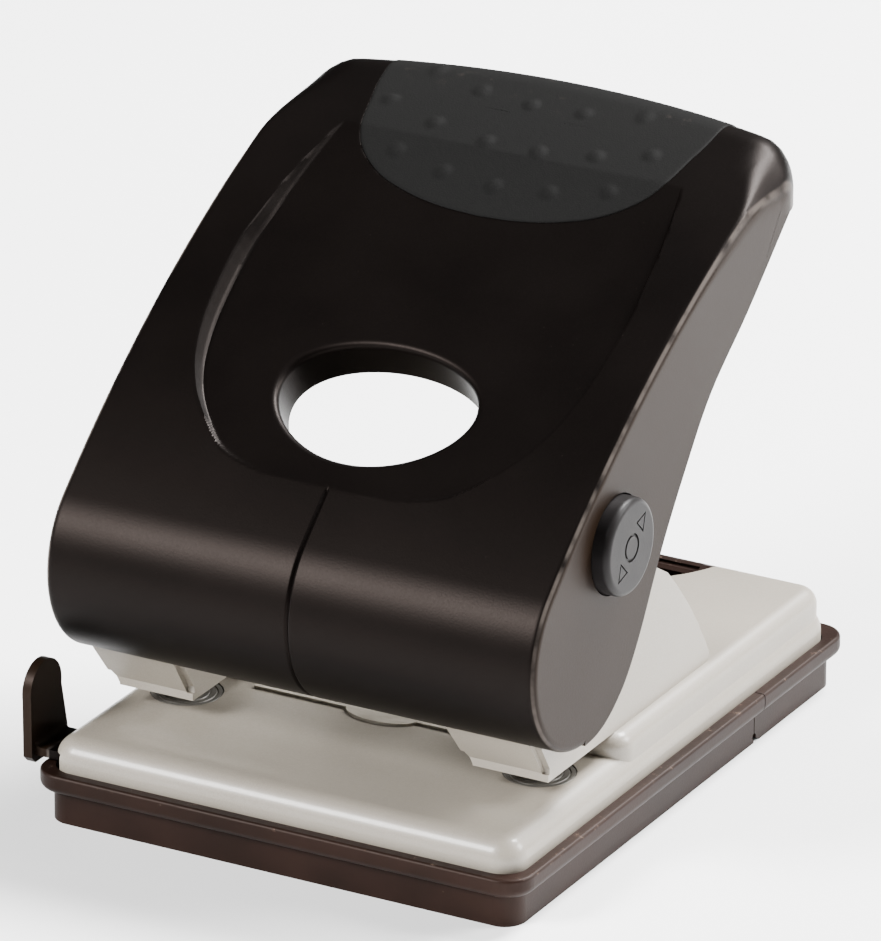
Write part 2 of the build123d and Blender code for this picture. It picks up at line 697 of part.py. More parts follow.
# Space inside the cover: open at the back and under the nose.
with BuildPart() as hollow:
    inner_low = on_nose(242.5, wall)
    with BuildSketch(Plane.YZ):
        with BuildLine():
            mouth = (inner_low[0] - 1.2, 24.0)
            Line(mouth, inner_low)
            inner_join = on_nose(degrees(joint_angle), wall)
            ThreePointArc(inner_low, on_nose(180, wall), inner_join)
            step_in = (panel_dir[1] * (wall + 0.1), -panel_dir[0] * (wall + 0.1))
            Polyline(
                inner_join,
                (panel_a[0] + step_in[0], panel_a[1] + step_in[1]),
                (panel_b[0] + step_in[0], panel_b[1] + step_in[1]),
                (70.0, 118.2), (77.0, 115.2), (96.0, 99.0), (96.0, 24.0), mouth,
            )
        make_face()
    extrude(amount=handle_half - wall, both=True)
    with BuildSketch() as inner_plan:
        with BuildLine():
            half = handle_half - wall
            Polyline((-half, handle_side_y - wall), (-half, -60), (half, -60), (half, handle_side_y - wall))
            ThreePointArc((half, handle_side_y - wall), (0, handle_back_y - wall), (-half, handle_side_y - wall))
        make_face()
        fillet(inner_plan.vertices().group_by(Axis.Y)[-1], handle_corner - wall)
    extrude(amount=160, mode=Mode.INTERSECT)

# Outline of the grip, a rounded shield seen square to the top of the slope.
grip_s = 84.0
grip_plane = Plane(
    origin=(0, *on_top(grip_s, -12)),
    x_dir=(1, 0, 0),
    z_dir=(0, cos(joint_angle - 102 / top_r), sin(joint_angle - 102 / top_r)),
)


def panel_block(lift):
    """Block above the sunk panel, moved out by lift along the panel's normal."""
    with BuildPart() as block:
        with BuildSketch(panel_plane.offset(lift)):
            with BuildLine():
                edge = Spline((0, 0), (24.0, 2.7), (35.0, 13.0), (41.2, 24.0), (43.8, 48.0), (42.0, 69.0), (38.2, 87.0),
                              tangents=((1, 0), (-0.25, 1)))
                mirror(edge, about=Plane.YZ)
                Line((38.2, 87.0), (-38.2, 87.0))
            make_face()
        extrude(amount=8)
    return block.part


def grip_prism(margin):
    """Block that cuts the grip's shape out of the handle's skin, with a margin all round."""
    with BuildPart() as block:
        with BuildSketch(grip_plane) as shield:
            with BuildLine():
                right = Spline((0, -margin), (16.0, 1.6 - margin), (27.0 + margin * 0.8, 7.6 - margin * 0.6),
                               (34.3 + margin, 20.0), (37.0 + margin, 32.0), tangents=((1, 0), (0.1, 1)))
                mirror(right, about=Plane.YZ)
                Polyline((37.0 + margin, 32.0), (37.4 + margin, 60), (-37.4 - margin, 60), (-37.0 - margin, 32.0))
            make_face()
        extrude(amount=-60)
    return block.part


def grip_shell(margin, lift):
    """Skin of the handle inside the grip's outline, standing proud of the panel by lift."""
    with BuildPart() as core:
        add(under_grip)
        add(panel_block(lift - grip_t), mode=Mode.SUBTRACT)
    with BuildPart() as shell:
        add(outer_form)
        add(panel_block(lift), mode=Mode.SUBTRACT)
        add(core.part, mode=Mode.SUBTRACT)
        add(grip_prism(margin), mode=Mode.INTERSECT)
        with BuildSketch(Plane.XY.offset(hem_z + 2.5 - margin)):
            Rectangle(200, 400)
        extrude(amount=60, mode=Mode.INTERSECT)
    return shell.part


with BuildPart() as grip_pad:
    add(grip_shell(0, 0.3))
grip_pad.part.label = "grip_pad"
export_step(grip_pad.part, "parts/grip_pad.step")

with BuildPart() as grip_pocket:
    add(grip_shell(0.2, 0.3))

oval_t, oval_a, oval_b = 21.2, 20.8, 14.2
collar_depth = 9.0
cup_r, cup_floor = knob_r + 0.35, 51.6

with BuildPart() as handle_cover:
    add(outer_form)
    add(panel_block(0), mode=Mode.SUBTRACT)
    add(hollow.part, mode=Mode.SUBTRACT)
    # Collar and finger opening.
    with BuildSketch(panel_plane.offset(-collar_depth)):
        with Locations((0, oval_t)):
            Ellipse(oval_a + 2.0, oval_b + 2.0)
    extrude(amount=collar_depth - 0.5)
    with BuildSketch(panel_plane.offset(-collar_depth - 2)):
        with Locations((0, oval_t)):
            Ellipse(oval_a, oval_b)
    extrude(amount=20, mode=Mode.SUBTRACT)
    # Cup for the lock button in the right side wall.
    with BuildSketch(Plane.YZ.offset(49.9)):
        with Locations((knob_y, knob_z)):
            Circle(cup_r + 1.6)
    extrude(amount=handle_half - wall - 49.9 + 0.5)
    with BuildSketch(Plane.YZ.offset(cup_floor)):
        with Locations((knob_y, knob_z)):
            Circle(cup_r)
    extrude(amount=10, mode=Mode.SUBTRACT)
    with BuildSketch(Plane.YZ.offset(45)):
        with Locations((knob_y, knob_z)):
            Circle(2.0 + running)
    extrude(amount=10, mode=Mode.SUBTRACT)
    # Bosses that the lever screws hold.
    with BuildSketch(web_plane):
        with Locations((-screw_x, 0), (screw_x, 0)):
            Circle(3.6)
    extrude(until=Until.NEXT)
    with BuildSketch(web_plane):
        with Locations((-screw_x, 0), (screw_x, 0)):
            Circle(1.5)
    extrude(amount=2.2, mode=Mode.SUBTRACT)
    add(grip_pocket.part, mode=Mode.SUBTRACT)
handle_cover.part.label = "handle_cover"
export_step(handle_cover.part, "parts/handle_cover.step")

with BuildPart() as lever_screws:
    with BuildSketch(web_plane.offset(-web_t)):
        with Locations((-screw_x, 0), (screw_x, 0)):
            Circle(2.8)
    extrude(amount=-1.6)
    with BuildSketch(web_plane.offset(-web_t)):
        with Locations((-screw_x, 0), (screw_x, 0)):
            Circle(1.5)
    extrude(amount=web_t + 2.0)
lever_screws.part.label = "lever_screws"
export_step(lever_screws.part, "parts/lever_screws.step")

# ================================================================ lock button
knob_back, knob_face = cup_floor + knob_travel + 0.2, 58.2

with BuildPart() as lock_button:
    with BuildSketch(Plane.YZ.offset(knob_back)):
        with Locations((knob_y, knob_z)):
            Circle(knob_r)
    extrude(amount=knob_face - knob_back)
    fillet(lock_button.edges().sort_by(Axis.X)[-1], 1.3)
    # Centre nub inside an engraved ring.
    with BuildSketch(Plane.YZ.offset(knob_face - 0.35)):
        with Locations((knob_y, knob_z)):
            Circle(2.9)
            Circle(2.3, mode=Mode.SUBTRACT)
    extrude(amount=1, mode=Mode.SUBTRACT)
    # Two engraved triangle outlines, one each side of the nub.
    for turn in (45, 225):
        with BuildSketch(Plane.YZ.offset(knob_face - 0.3)):
            with Locations(Pos(knob_y, knob_z) * Rot(0, 0, turn) * Pos(5.6, 0)):
                RegularPolygon(2.4, 3)
                RegularPolygon(1.7, 3, mode=Mode.SUBTRACT)
        extrude(amount=1, mode=Mode.SUBTRACT)
    with BuildSketch(Plane.YZ.offset(knob_back - 1)):
        with Locations((knob_y, knob_z)):
            Circle(2.0)
    extrude(amount=3.2, mode=Mode.SUBTRACT)
lock_button.part.label = "lock_button"
export_step(lock_button.part, "parts/lock_button.step")

with BuildPart() as lock_pin:
    with BuildSketch(Plane.YZ.offset(49.1)):
        with Locations((knob_y, knob_z)):
            Circle(2.0)
    extrude(amount=knob_back + 2.1 - 49.1)
    chamfer(lock_pin.edges().sort_by(Axis.X)[0], 0.4)
lock_pin.part.label = "lock_pin"
export_step(lock_pin.part, "parts/lock_pin.step")
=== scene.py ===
import json
import math

import bpy
import numpy as np
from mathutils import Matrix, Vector


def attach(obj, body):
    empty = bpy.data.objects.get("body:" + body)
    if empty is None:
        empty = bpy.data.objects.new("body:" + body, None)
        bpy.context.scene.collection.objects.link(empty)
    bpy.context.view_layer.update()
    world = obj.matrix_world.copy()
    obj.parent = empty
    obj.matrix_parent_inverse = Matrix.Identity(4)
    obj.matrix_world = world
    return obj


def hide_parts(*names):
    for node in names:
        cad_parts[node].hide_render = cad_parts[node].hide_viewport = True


# Looks of a two-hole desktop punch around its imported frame, in metres.
# X runs left to right, +Y to the back, +Z up; the origin lies under the middle of the two holes.

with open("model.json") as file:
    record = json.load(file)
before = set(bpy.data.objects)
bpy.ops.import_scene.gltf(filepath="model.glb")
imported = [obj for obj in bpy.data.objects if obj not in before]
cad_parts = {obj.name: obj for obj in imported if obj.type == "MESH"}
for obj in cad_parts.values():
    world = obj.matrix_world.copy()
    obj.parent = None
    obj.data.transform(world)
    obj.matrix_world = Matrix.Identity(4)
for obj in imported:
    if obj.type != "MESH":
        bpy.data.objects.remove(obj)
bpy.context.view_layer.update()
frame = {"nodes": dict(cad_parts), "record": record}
nodes = frame["nodes"]

# ---------------------------------------------------------------- driving sizes (millimetres)
NOSE = (-8.7, 50.6, 20.94)          # centre y, z and radius of the rounded nose
TOP = (164.5, -138.0, 277.0)        # centre y, z and radius of the long top arc
HALF = 54.7                         # half width of the handle
BACK, SIDE = 90.4, 84.0             # rear edge of the handle at the middle and at the sides
HEM = 112.0                         # lower edge of the rolled rear
PANEL = (13.0, 100.0)               # arc lengths of the sunk panel's two ends
MM = 0.001
JOINT = math.atan2(NOSE[1] - TOP[1], NOSE[0] - TOP[0])


# ---------------------------------------------------------------- shader helpers
class Value:
    """A number carried by a shader socket: ordinary arithmetic on it adds Math nodes."""

    def __init__(self, tree, socket):
        self.tree, self.socket = tree, socket

    def _math(self, operation, *others, swap=False):
        node = self.tree.nodes.new("ShaderNodeMath")
        node.operation = operation
        terms = [self, *others]
        if swap:
            terms.reverse()
        for slot, term in zip(node.inputs, terms):
            if isinstance(term, Value):
                self.tree.links.new(term.socket, slot)
            else:
                slot.default_value = term
        return Value(self.tree, node.outputs[0])

    def __add__(self, other):
        return self._math("ADD", other)

    def __radd__(self, other):
        return self._math("ADD", other)

    def __sub__(self, other):
        return self._math("SUBTRACT", other)

    def __rsub__(self, other):
        return self._math("SUBTRACT", other, swap=True)

    def __mul__(self, other):
        return self._math("MULTIPLY", other)

    def __rmul__(self, other):
        return self._math("MULTIPLY", other)

    def __truediv__(self, other):
        return self._math("DIVIDE", other)

    def size(self):
        return self._math("ABSOLUTE")

    def clipped(self):
        return self._math("MAXIMUM", 0.0)._math("MINIMUM", 1.0)

    def ramp(self, low, high):
        """0 below low, 1 above high, smooth between; low may be above high."""
        t = ((self - low) / (high - low)).clipped()
        return t * t * (3.0 - 2.0 * t)


class Paint:
    """One node material with object coordinates; sockets are set by name."""

    def __init__(self, name, **settings):
        self.material = bpy.data.materials.new(name)
        self.material.use_nodes = True
        self.tree = self.material.node_tree
        self.bsdf = self.tree.nodes["Principled BSDF"]
        self.coords = self.tree.nodes.new("ShaderNodeTexCoord").outputs["Object"]
        for key, value in settings.items():
            self.bsdf.inputs[key.replace("_", " ")].default_value = value

    def node(self, kind, settings=None, inputs=None, output=0):
        """Adds a node by type, sets its properties and inputs, and returns one output."""
        made = self.tree.nodes.new(kind)
        for key, value in (settings or {}).items():
            setattr(made, key, value)
        for key, value in (inputs or {}).items():
            self.feed(made.inputs[key], value)
        return made.outputs[output]

    def feed(self, slot, value):
        if isinstance(value, Value):
            value = value.socket
        if isinstance(value, bpy.types.NodeSocket):
            self.tree.links.new(value, slot)
        else:
            slot.default_value = value

    def value(self, socket):
        return Value(self.tree, socket)

    def axis(self, name):
        """One object coordinate, in millimetres."""
        split = self.node("ShaderNodeSeparateXYZ", inputs={0: self.coords}, output=name)
        return self.value(split) * 1000.0

    def noise(self, scale, detail=2.0, rough=0.5, stretch=None):
        """Fractal noise from 0 to 1, scale in cells per metre; stretch scales the coordinates first."""
        coords = self.coords
        if stretch:
            coords = self.node("ShaderNodeMapping", inputs={"Vector": coords, "Scale": stretch})
        return self.value(self.node("ShaderNodeTexNoise", inputs={
            "Vector": coords, "Scale": scale, "Detail": detail, "Roughness": rough}))

    def spots(self, scale, radius):
        """1 inside small scattered dots, 0 outside."""
        cell = self.node("ShaderNodeTexVoronoi", inputs={"Vector": self.coords, "Scale": scale})
        return 1.0 - self.value(cell).ramp(radius * 0.6, radius)

    def blend(self, factor, first, second):
        """Colour that goes from first to second as factor goes from 0 to 1."""
        return self.node("ShaderNodeMix", {"data_type": "RGBA"}, {
            "Factor": factor, 6: first, 7: second}, output=2)

    def bump(self, height, strength, distance):
        """Adds a bump from a height value; distance is in metres."""
        normal = self.node("ShaderNodeBump", inputs={
            "Height": height, "Strength": strength, "Distance": distance})
        self.feed(self.bsdf.inputs["Normal"], normal)

    def colour(self, value):
        self.feed(self.bsdf.inputs["Base Color"], value)

    def rough(self, value):
        self.feed(self.bsdf.inputs["Roughness"], value)


def rgb(red, green, blue):
    return (red, green, blue, 1.0)


def cover_paint():
    """Near-black moulded plastic with a fine grain and dust specks; a painted highlight along the side
    edges and painted warm light on the browner flat sides."""
    paint = Paint("cover_plastic", Specular_IOR_Level=0.07, Specular_Tint=rgb(1.0, 0.80, 0.72))
    grain = paint.noise(2600.0, 3.0, 0.6)
    cloud = paint.noise(38.0, 3.0, 0.5)
    dust = paint.spots(420.0, 0.045) * paint.noise(60.0).ramp(0.52, 0.66)
    base = paint.blend(cloud.ramp(0.3, 0.7), rgb(0.0008, 0.00055, 0.0005), rgb(0.0013, 0.0009, 0.0008))
    across = paint.axis("X").size()
    # Painted light: the flat sides are painted browner, standing in for the warm light and floor
    # reflection they catch.
    base = paint.blend(across.ramp(54.35, 54.65), base, rgb(0.0085, 0.0050, 0.0030))
    # Painted highlight: a paler, broken band where the top edge rounds over to the sides, standing in for
    # the glint of light on that edge.
    edge = across.ramp(53.7, 54.05) * across.ramp(54.6, 54.3) * paint.noise(160.0, 3.0).ramp(0.25, 0.6)
    base = paint.blend(edge, base, rgb(0.050, 0.042, 0.037))
    paint.colour(paint.blend(dust * 0.5, base, rgb(0.03, 0.024, 0.021)))
    paint.rough(0.34 + 0.10 * grain + 0.05 * cloud)
    paint.bump(grain, 0.35, 0.00006)
    return paint.material


def rubber_paint():
    """Dark grey soft grip: matt, finely speckled, a little scuffed towards the rolled edge."""
    paint = Paint("grip_rubber", Specular_IOR_Level=0.07)
    grain = paint.noise(3200.0, 2.0, 0.7)
    scuff = paint.noise(220.0, 4.0, 0.7).ramp(0.60, 0.72) * paint.axis("Y").ramp(72.0, 84.0)
    base = paint.blend(grain.ramp(0.35, 0.65), rgb(0.0019, 0.0018, 0.0017), rgb(0.0034, 0.0033, 0.0031))
    paint.colour(paint.blend(scuff * 0.35, base, rgb(0.03, 0.024, 0.021)))
    paint.rough(0.62 + 0.14 * grain)
    paint.bump(grain, 0.5, 0.00008)
    return paint.material


def button_paint():
    """Warm grey satin plastic, slightly cloudy."""
    paint = Paint("button_plastic", Specular_IOR_Level=0.10)
    grain = paint.noise(2400.0, 2.0, 0.6)
    cloud = paint.noise(160.0, 3.0)
    paint.colour(paint.blend(cloud.ramp(0.3, 0.7), rgb(0.0075, 0.0066, 0.0066),
                             rgb(0.0110, 0.0096, 0.0096)))
    paint.rough(0.38 + 0.10 * grain)
    paint.bump(grain, 0.25, 0.00005)
    return paint.material


def tray_paint():
    """Dark brown plastic tray, with pale wear along the rim's edges and dust in the corners."""
    paint = Paint("tray_plastic", Specular_IOR_Level=0.12, Specular_Tint=rgb(1.0, 0.84, 0.76))
    grain = paint.noise(2200.0, 3.0, 0.6)
    cloud = paint.noise(55.0, 4.0)
    height = paint.axis("Z")
    edge = height.ramp(10.2, 10.9) + height.ramp(7.9, 7.1) * height.ramp(6.2, 6.9)
    wear = edge.clipped() * paint.noise(420.0, 5.0, 0.75).ramp(0.60, 0.70)
    specks = paint.spots(300.0, 0.07) * paint.noise(90.0).ramp(0.50, 0.60)
    base = paint.blend(cloud.ramp(0.3, 0.7), rgb(0.0078, 0.0034, 0.0023), rgb(0.0130, 0.0058, 0.0041))
    worn = paint.blend(wear * 0.8, base, rgb(0.12, 0.08, 0.06))
    paint.colour(paint.blend(specks * 0.45, worn, rgb(0.07, 0.05, 0.04)))
    paint.rough(0.40 + 0.12 * grain + 0.06 * cloud)
    paint.bump(grain + wear * 1.5, 0.35, 0.00008)
    return paint.material


def enamel_paint():
    """Cream-grey stove enamel: satin with a faint orange-peel and a few dark chips."""
    paint = Paint("enamel", Specular_IOR_Level=0.55, Coat_Weight=0.3, Coat_Roughness=0.18)
    peel = paint.noise(700.0, 2.0, 0.5)
    grain = paint.noise(3000.0, 2.0, 0.7)
    cloud = paint.noise(24.0, 3.0)
    chips = paint.spots(150.0, 0.035) * paint.noise(45.0).ramp(0.54, 0.62)
    base = paint.blend(cloud.ramp(0.3, 0.7), rgb(0.205, 0.180, 0.145), rgb(0.235, 0.208, 0.170))
    fine = paint.blend(grain.ramp(0.35, 0.65) * 0.5, base, rgb(0.265, 0.24, 0.20))
    paint.colour(paint.blend(chips * 0.6, fine, rgb(0.16, 0.13, 0.11)))
    paint.rough(0.40 + 0.10 * peel + 0.06 * grain)
    paint.bump(peel + grain * 0.3, 0.25, 0.00006)
    return paint.material


def steel_paint(name, colour, stretch, spread, metal=1.0):
    """Bare steel with fine drawn lines; stretch sets which way the lines run."""
    paint = Paint(name, Metallic=metal)
    lines = paint.noise(900.0, 3.0, 0.6, stretch)
    cloud = paint.noise(120.0, 3.0)
    dark = rgb(*(c * 0.72 for c in colour))
    paint.colour(paint.blend(cloud.ramp(0.25, 0.75), dark, rgb(*colour)))
    paint.rough(spread + 0.16 * lines)
    paint.bump(lines, 0.2, 0.00004)
    return paint.material


def strip_paint():
    """Grey-cream fibre strip along the paper stop."""
    paint = Paint("strip_plastic", Specular_IOR_Level=0.35)
    fibre = paint.noise(500.0, 4.0, 0.7, (0.3, 1.0, 1.0))
    paint.colour(paint.blend(fibre.ramp(0.3, 0.7), rgb(0.30, 0.27, 0.22), rgb(0.40, 0.365, 0.305)))
    paint.rough(0.55 + 0.15 * fibre)
    paint.bump(fibre, 0.3, 0.00008)
    return paint.material


# ---------------------------------------------------------------- handle surface
START = -50.24                      # arc length where the nose's underside meets the side walls
LIP, TAIL = -40.05, 111.7           # arc lengths of the front lip and of the end of the slope
HINGE = (75.4, 113.5)               # y, z that the rear roll's rays turn about
REACH = 12.0                        # surface length given to each radian of the rear turn
WALL = 2.5                          # thickness of the cover
WIDE = HALF - WALL                  # half width of the hollow
PLAN_CORNER = 9.0                   # radius of the rear corners seen from above
EDGE, ROLL = 1.3, 10.0              # radius of the top edge in front and at the rear
ROLL_SPAN = (54.0, 80.0)            # y range in which the edge grows from one to the other
TAIL_INSET = 9.8                    # how much further in the outer rays start at the tail
HOLE_T, HOLE_X, HOLE_Y = 21.1, 20.9, 14.3   # finger hole: place up the panel, half width, half height
HOLE_ROUND, COLLAR = 1.4, 9.0       # its rounded rim and the depth of its collar
BEND_ROW = 11                       # rows of the fans that lie in front of the lip
KNOB = (3.5, 67.7)                  # y, z of the lock button's cup in the right wall
CUP, CUP_SIDES = 10.25, 96          # its radius and the points round it
CUP_FLOOR, CUP_BACK, PIN_HOLE = 51.6, 49.9, 2.1
PAD_GAP = 0.6                       # bare skin between the pad and the end of the rear turn
MIRROR = np.array([-1.0, 1.0, 1.0])


def on_profile(s):
    """Point (y, z) and outward normal of the handle's outline in side view, s millimetres of
    arc past the point where the nose circle meets the long arc (negative s lies on the nose)."""
    s = np.asarray(s, float)
    radius = np.where(s < 0, NOSE[2], TOP[2])
    angle = JOINT - s / radius
    normal = np.stack([np.cos(angle), np.sin(angle)], -1)
    centre = np.where((s < 0)[..., None], np.array(NOSE[:2]), np.array(TOP[:2]))
    return centre + normal * radius[..., None], normal


def smooth(value, low, high):
    """0 at low, 1 at high, easing in and out."""
    t = np.clip((value - low) / (high - low), 0.0, 1.0)
    return t * t * (3 - 2 * t)


def rounded(a, b, radius):
    """Distance to the intersection of two shapes with distances a and b, its corner rounded."""
    a, b = a + radius, b + radius
    return np.minimum(np.maximum(a, b), 0) + np.hypot(np.maximum(a, 0), np.maximum(b, 0)) - radius


def body_distance(p):
    """Signed distance to the handle's outer form: nose circle and long arc seen from the side,
    straight sides and bowed rear edge seen from above, rear corners rounded, top edge rounded
    a little in front and strongly at the rear."""
    x, y, z = np.abs(p[..., 0]), p[..., 1], p[..., 2]
    along = (y - NOSE[0]) * math.sin(JOINT) - (z - NOSE[1]) * math.cos(JOINT)
    nose = np.hypot(y - NOSE[0], z - NOSE[1]) - NOSE[2]
    top = np.where(along < 0, nose, np.hypot(y - TOP[0], z - TOP[1]) - TOP[2])
    plan = rounded(np.hypot(x, y - BACK + BOW) - BOW, x - HALF, PLAN_CORNER)
    return rounded(top, plan, EDGE + (ROLL - EDGE) * smooth(y, *ROLL_SPAN))


def cast(origin, direction, reach=24.0):
    """Where rays from inside the body meet its surface, found by halving their length."""
    near, far = np.zeros(origin.shape[:-1]), np.full(origin.shape[:-1], reach)
    for _ in range(34):
        middle = (near + far) / 2
        inside = body_distance(origin + direction * middle[..., None]) < 0
        near, far = np.where(inside, middle, near), np.where(inside, far, middle)
    return origin + direction * near[..., None]


def spine(s):
    """Ray origins (y, z), normals (y, z), edge inset and share of the rear edge's bow for places s
    along the side outline: arc length to the slope's tail, a turn about HINGE, then straight
    down to the hem."""
    s = np.asarray(s, float)
    point, normal = on_profile(np.minimum(s, TAIL))
    grow = smooth(s, 62.0, TAIL)
    end, normal_tail = on_profile(TAIL)
    depth_tail = math.hypot(*(end - np.array(HINGE)))
    origin = point - normal * (WALL + (depth_tail - WALL) * grow)[..., None]
    first = math.atan2(normal_tail[1], normal_tail[0])
    turn = np.clip(first - (s - TAIL) / REACH, 0.0, first)
    beyond = s > TAIL
    normal = np.where(beyond[..., None], np.stack([np.cos(turn), np.sin(turn)], -1), normal)
    drop = np.maximum(s - TAIL - first * REACH, 0.0)
    straight = np.stack([np.full_like(s, HINGE[0]), HINGE[1] - drop], -1)
    origin = np.where(beyond[..., None], straight, origin)
    return origin, normal, WALL + TAIL_INSET * grow, grow


TURN_END = TAIL + REACH * math.atan2(on_profile(TAIL)[1][1], on_profile(TAIL)[1][0])
HEM_END = TURN_END + HINGE[1] - HEM
BOW = (HALF ** 2 + (BACK - SIDE) ** 2) / (2 * (BACK - SIDE))   # radius of the rear edge from above

PANEL_A, PANEL_B = on_profile(PANEL[0])[0], on_profile(PANEL[1])[0]
PANEL_DIR = (PANEL_B - PANEL_A) / np.linalg.norm(PANEL_B - PANEL_A)
PANEL_UP = np.array([-PANEL_DIR[1], PANEL_DIR[0]])
PANEL_RIM = [(0, 0), (8, 0.1), (16, 0.6), (24, 2.9), (29, 6.4), (35, 13), (38.4, 18.5), (41, 25),
             (43, 35), (43.9, 50), (43, 60), (42, 69), (40, 79.5), (38, 87.5)]
GRIP_RIM = [(0, 83.6), (8.5, 84.2), (16.5, 86), (24.7, 89.6), (31, 95.4), (34.4, 102), (36.1, 110),
            (37.4, 118), (38.2, 126), (38.6, 134)]


def curve(points, count):
    """Smooth curve through the points (Catmull-Rom), count samples per span."""
    p = np.array(points, float)
    p = np.vstack([2 * p[0] - p[1], p, 2 * p[-1] - p[-2]])
    out = []
    for a, b, c, d in zip(p[:-3], p[1:-2], p[2:-1], p[3:]):
        t = np.linspace(0, 1, count, endpoint=False)[:, None]
        out.append(0.5 * (2 * b + (c - a) * t + (2 * a - 5 * b + 4 * c - d) * t ** 2
                          + (3 * b - a - 3 * c + d) * t ** 3))
    return np.vstack(out + [p[-2:-1]])


def inside_by(x, t, rim):
    """How far (x, t) lies inside a mirrored outline open at its far end; negative outside."""
    a, b = rim[:-1], rim[1:]
    px, pt = np.abs(x)[..., None], t[..., None]
    span = b - a
    k = np.clip(((px - a[:, 0]) * span[:, 0] + (pt - a[:, 1]) * span[:, 1]) / (span ** 2).sum(1), 0, 1)
    gap = np.hypot(px - a[:, 0] - k * span[:, 0], pt - a[:, 1] - k * span[:, 1])
    nearest = gap.argmin(-1)
    take = np.take_along_axis
    side = ((px - a[:, 0]) * span[:, 1] - (pt - a[:, 1]) * span[:, 0])
    sign = np.where(take(side, nearest[..., None], -1)[..., 0] > 0, -1.0, 1.0)
    return take(gap, nearest[..., None], -1)[..., 0] * sign


PANEL_CURVE, GRIP_CURVE = curve(PANEL_RIM, 4), curve(GRIP_RIM, 4)


def panel_place(p):
    """Distance up the panel of points (x, y, z)."""
    return (p[..., 1] - PANEL_A[0]) * PANEL_DIR[0] + (p[..., 2] - PANEL_A[1]) * PANEL_DIR[1]


def skin(x, s, plain=False):
    """Outer skin at x and outline place s: the rounded form, less the flat panel with its sloping
    wall and, unless plain, the centre groove and the grip's bed. Also gives the outward direction."""
    x, s = np.broadcast_arrays(np.asarray(x, float), np.asarray(s, float))
    yz, normal, _, grow = spine(s)
    shift = (BOW - np.sqrt(BOW ** 2 - x ** 2)) * grow
    origin = np.stack([x, yz[..., 0] - shift, yz[..., 1]], -1)
    direction = np.stack([np.zeros_like(x), normal[..., 0], normal[..., 1]], -1)
    hit = cast(origin, direction)
    height = (hit[..., 1] - PANEL_A[0]) * PANEL_UP[0] + (hit[..., 2] - PANEL_A[1]) * PANEL_UP[1]
    lean = normal @ PANEL_UP
    within = inside_by(x, panel_place(hit), PANEL_CURVE)
    wall = 0.14 * smooth(within, -0.1, 0.1) + 2.5 * np.maximum(within, 0)
    full = np.where((s < TAIL) & (height > 0), height / np.maximum(lean, 0.3), 0.0)
    blend = np.clip(0.5 + (wall - full) / 1.2, 0, 1)
    down = np.maximum(wall * (1 - blend) + full * blend - 0.6 * blend * (1 - blend), 0)
    if not plain:
        down = down + 0.42 * np.exp(-(x / 0.3) ** 2) * smooth(s, 13.4, 11.8)
        down = down + 0.9 * smooth(inside_by(x, s, GRIP_CURVE), 0.05, 0.8) * (hit[..., 2] > HEM + 1.3)
    return hit - direction * down[..., None], direction


class Shell:
    """Collects patches of points and faces; close() welds points that coincide."""

    def __init__(self):
        self.points, self.faces, self.count = [], [], 0

    def add(self, points, faces):
        self.points.append(np.asarray(points, float).reshape(-1, 3))
        self.faces += [tuple(int(i) + self.count for i in face) for face in faces]
        self.count += len(self.points[-1])

    def grid(self, points, skip=None, flip=False):
        """Patch of quads from a rows by columns array of points."""
        rows, columns = points.shape[:2]
        index = np.arange(rows * columns).reshape(rows, columns)
        quads = np.stack([index[:-1, :-1], index[:-1, 1:], index[1:, 1:], index[1:, :-1]], -1)
        if skip is not None:
            quads = quads[~skip]
        quads = quads.reshape(-1, 4)
        self.add(points, quads[:, ::-1] if flip else quads)

    def polygon(self, points, flip=False):
        order = range(len(points))
        self.add(points, [tuple(reversed(order)) if flip else tuple(order)])

    def close(self):
        points = np.vstack(self.points)
        _, first, welded = np.unique(np.round(points, 4), axis=0, return_index=True, return_inverse=True)
        welded = welded.reshape(-1)
        faces = []
        for face in self.faces:
            ring = [int(welded[i]) for i in face]
            ring = [v for i, v in enumerate(ring) if v != ring[i - 1]]
            if len(ring) > 2:
                faces.append(ring)
        return points[first], faces


def oval(angle, grow=0.0):
    """Finger hole outline on the panel: an oval a little pointed towards the front."""
    x = (HOLE_X + grow) * np.cos(angle) * (1.01 + 0.12 * np.sin(angle))
    return x, HOLE_T + (HOLE_Y + grow) * np.sin(angle)


def on_panel(x, t, depth=0.0):
    """Points on the panel at x, distance t up it and a depth below it."""
    x, t = np.broadcast_arrays(np.asarray(x, float), np.asarray(t, float))
    yz = PANEL_A + PANEL_DIR * t[..., None] - PANEL_UP * np.asarray(depth, float)[..., None]
    return np.concatenate([x[..., None], yz], -1)


